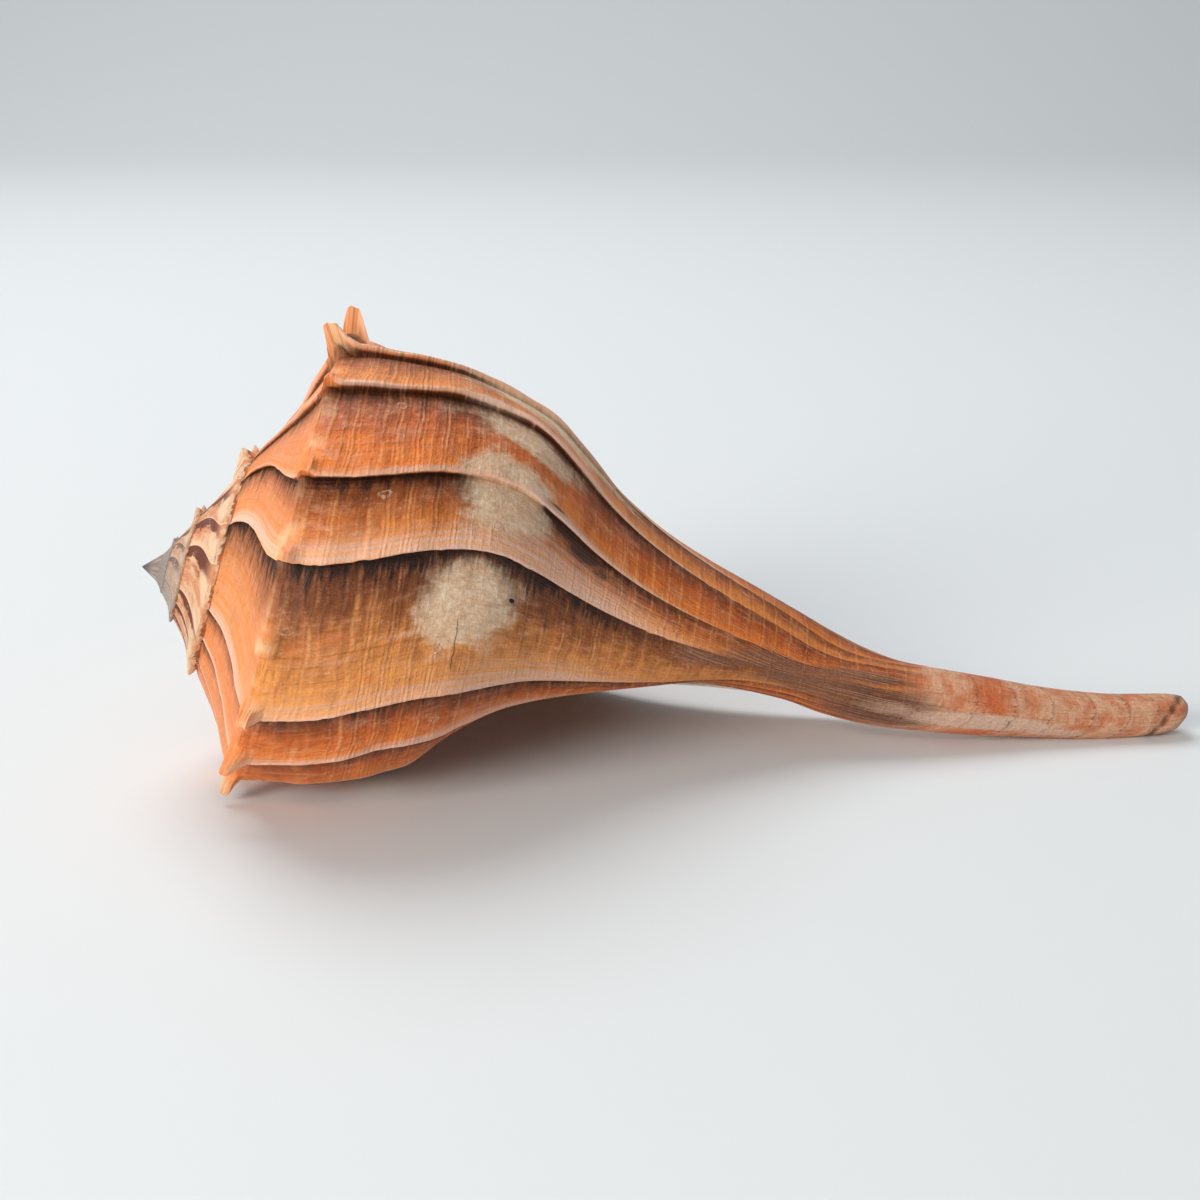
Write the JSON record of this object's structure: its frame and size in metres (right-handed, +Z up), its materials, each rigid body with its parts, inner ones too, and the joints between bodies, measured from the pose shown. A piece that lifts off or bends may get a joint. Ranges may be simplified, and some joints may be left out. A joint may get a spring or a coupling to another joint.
{
  "type": "lightning whelk shell",
  "caption": "Empty left-handed whelk shell with a spined shoulder, raised growth ridges and a long siphonal canal, lying on its aperture.",
  "frame": {"origin": "centre of the shell's footprint box, on the surface it lies on", "axes": "+Z up, +X towards the tip of the siphonal canal, -X towards the apex, +Y away from the side that the picture shows"},
  "size_m": [0.127, 0.0634, 0.0527],
  "materials": {
    "shell_lime": "satin"
  },
  "bodies": {
    "root": {"whelk_shell": "shell_lime"}
  },
  "joints": []
}
